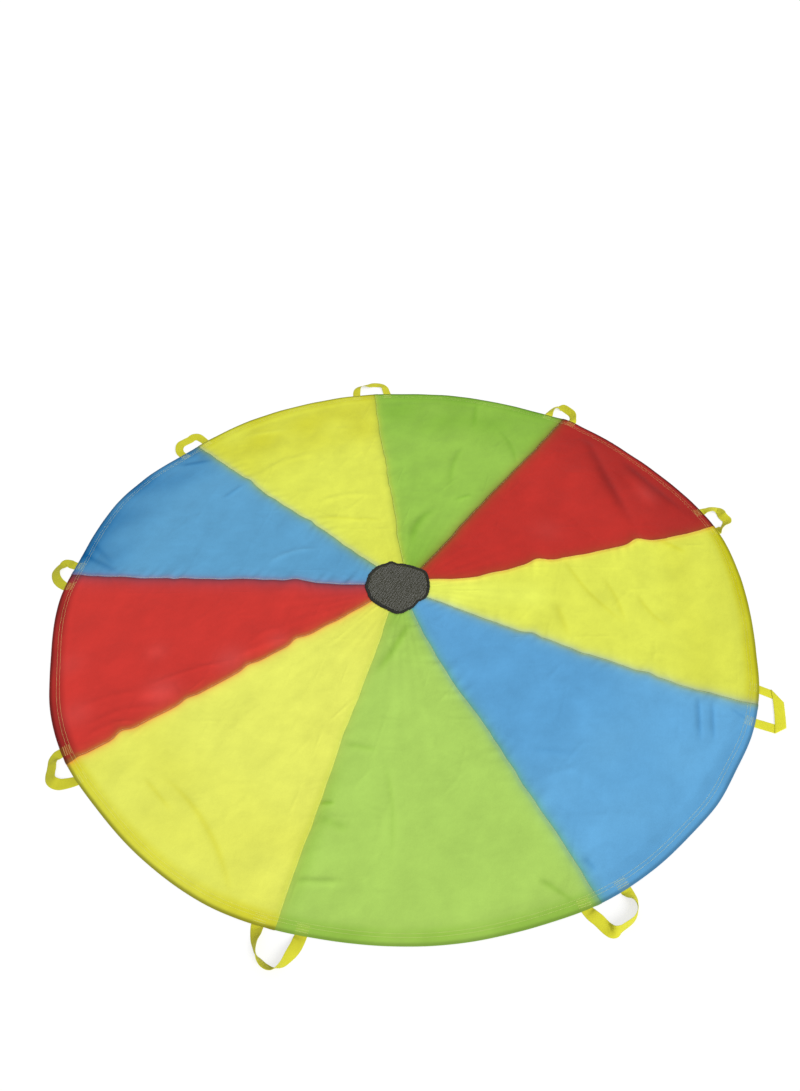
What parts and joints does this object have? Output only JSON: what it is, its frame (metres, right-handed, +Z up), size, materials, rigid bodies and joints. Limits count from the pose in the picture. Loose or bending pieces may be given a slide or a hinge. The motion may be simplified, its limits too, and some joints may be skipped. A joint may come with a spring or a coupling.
{
  "type": "play parachute",
  "caption": "Round play parachute laid flat: coloured fabric gores round a black net centre, a stitched hem, and webbing handles that swing at the rim.",
  "frame": {"origin": "centre of the canopy, on the ground that it lies on", "axes": "+Z up from the ground; +Y away from the viewer of the picture; +X to the viewer's right"},
  "size_m": [1.9336, 1.9323, 0.017],
  "materials": {
    "yellow_taffeta": "bright yellow woven polyester taffeta, soft sheen",
    "green_taffeta": "bright green woven polyester taffeta, soft sheen",
    "red_taffeta": "bright red woven polyester taffeta, soft sheen",
    "blue_taffeta": "bright blue woven polyester taffeta, soft sheen",
    "black_net": "black woven mesh, matt",
    "black_binding": "black woven tape, matt",
    "yellow_webbing": "yellow flat woven webbing, matt",
    "lime_thread": "yellow-green polyester sewing thread",
    "black_thread": "black polyester sewing thread"
  },
  "bodies": {
    "canopy": {"gore_1_green": "green_taffeta", "gore_2_red": "red_taffeta", "gore_3_yellow": "yellow_taffeta", "gore_4_blue": "blue_taffeta", "gore_5_green": "green_taffeta", "gore_6_yellow": "yellow_taffeta", "gore_7_red": "red_taffeta", "gore_8_blue": "blue_taffeta", "gore_9_yellow": "yellow_taffeta", "handle_1_sewn_end_left": "yellow_webbing", "handle_1_sewn_end_right": "yellow_webbing", "handle_2_sewn_end_left": "yellow_webbing", "handle_2_sewn_end_right": "yellow_webbing", "handle_3_sewn_end_left": "yellow_webbing", "handle_3_sewn_end_right": "yellow_webbing", "handle_4_sewn_end_left": "yellow_webbing", "handle_4_sewn_end_right": "yellow_webbing", "handle_5_sewn_end_left": "yellow_webbing", "handle_5_sewn_end_right": "yellow_webbing", "handle_6_sewn_end_left": "yellow_webbing", "handle_6_sewn_end_right": "yellow_webbing", "handle_7_sewn_end_left": "yellow_webbing", "handle_7_sewn_end_right": "yellow_webbing", "handle_8_sewn_end_left": "yellow_webbing", "handle_8_sewn_end_right": "yellow_webbing", "handle_9_sewn_end_left": "yellow_webbing", "handle_9_sewn_end_right": "yellow_webbing", "hem_stitching_outer": "lime_thread", "hem_stitching_inner": "lime_thread", "seam_stitching_1": "lime_thread", "seam_stitching_2": "lime_thread", "seam_stitching_3": "lime_thread", "seam_stitching_4": "lime_thread", "seam_stitching_5": "lime_thread", "seam_stitching_6": "lime_thread", "seam_stitching_7": "lime_thread", "seam_stitching_8": "lime_thread", "seam_stitching_9": "lime_thread"},
    "centre": {"centre_net": "black_net", "centre_binding": "black_binding", "binding_stitching": "black_thread"},
    "handle_1_loop": {"handle_1": "yellow_webbing"},
    "handle_2_loop": {"handle_2": "yellow_webbing"},
    "handle_3_loop": {"handle_3": "yellow_webbing"},
    "handle_4_loop": {"handle_4": "yellow_webbing"},
    "handle_5_loop": {"handle_5": "yellow_webbing"},
    "handle_6_loop": {"handle_6": "yellow_webbing"},
    "handle_7_loop": {"handle_7": "yellow_webbing"},
    "handle_8_loop": {"handle_8": "yellow_webbing"},
    "handle_9_loop": {"handle_9": "yellow_webbing"}
  },
  "joints": [
    {"name": "centre_rise", "type": "slide", "parent": "canopy", "child": "centre", "axis": [0, 0, 1], "range_m": [0, 0.25], "deforming": ["gore_1_green", "gore_2_red", "gore_3_yellow", "gore_4_blue", "gore_5_green", "gore_6_yellow", "gore_7_red", "gore_8_blue", "gore_9_yellow", "seam_stitching_1", "seam_stitching_2", "seam_stitching_3", "seam_stitching_4", "seam_stitching_5", "seam_stitching_6", "seam_stitching_7", "seam_stitching_8", "seam_stitching_9"]},
    {"name": "handle_1_swing", "type": "hinge", "parent": "canopy", "child": "handle_1_loop", "pos_m": [-0.07583, 0.91225, 0.00215], "axis": [0.9966, 0.0828, 0], "range_deg": [0, 160]},
    {"name": "handle_2_swing", "type": "hinge", "parent": "canopy", "child": "handle_2_loop", "pos_m": [0.5283, 0.74757, 0.00215], "axis": [0.8167, -0.5771, 0], "range_deg": [0, 160]},
    {"name": "handle_3_swing", "type": "hinge", "parent": "canopy", "child": "handle_3_loop", "pos_m": [0.88523, 0.23308, 0.00215], "axis": [0.2546, -0.967, 0], "range_deg": [0, 160]},
    {"name": "handle_4_swing", "type": "hinge", "parent": "canopy", "child": "handle_4_loop", "pos_m": [0.82795, -0.39046, 0.00215], "axis": [-0.4265, -0.9045, 0], "range_deg": [0, 160]},
    {"name": "handle_5_swing", "type": "hinge", "parent": "canopy", "child": "handle_5_loop", "pos_m": [0.38326, -0.8313, 0.00215], "axis": [-0.9081, -0.4187, 0], "range_deg": [0, 160]},
    {"name": "handle_6_swing", "type": "hinge", "parent": "canopy", "child": "handle_6_loop", "pos_m": [-0.24076, -0.88317, 0.00215], "axis": [-0.9648, 0.263, 0], "range_deg": [0, 160]},
    {"name": "handle_7_swing", "type": "hinge", "parent": "canopy", "child": "handle_7_loop", "pos_m": [-0.75212, -0.52179, 0.00215], "axis": [-0.57, 0.8216, 0], "range_deg": [0, 160]},
    {"name": "handle_8_swing", "type": "hinge", "parent": "canopy", "child": "handle_8_loop", "pos_m": [-0.91156, 0.08374, 0.00215], "axis": [0.0915, 0.9958, 0], "range_deg": [0, 160]},
    {"name": "handle_9_swing", "type": "hinge", "parent": "canopy", "child": "handle_9_loop", "pos_m": [-0.64447, 0.65009, 0.00215], "axis": [0.7102, 0.704, 0], "range_deg": [0, 160]}
  ]
}
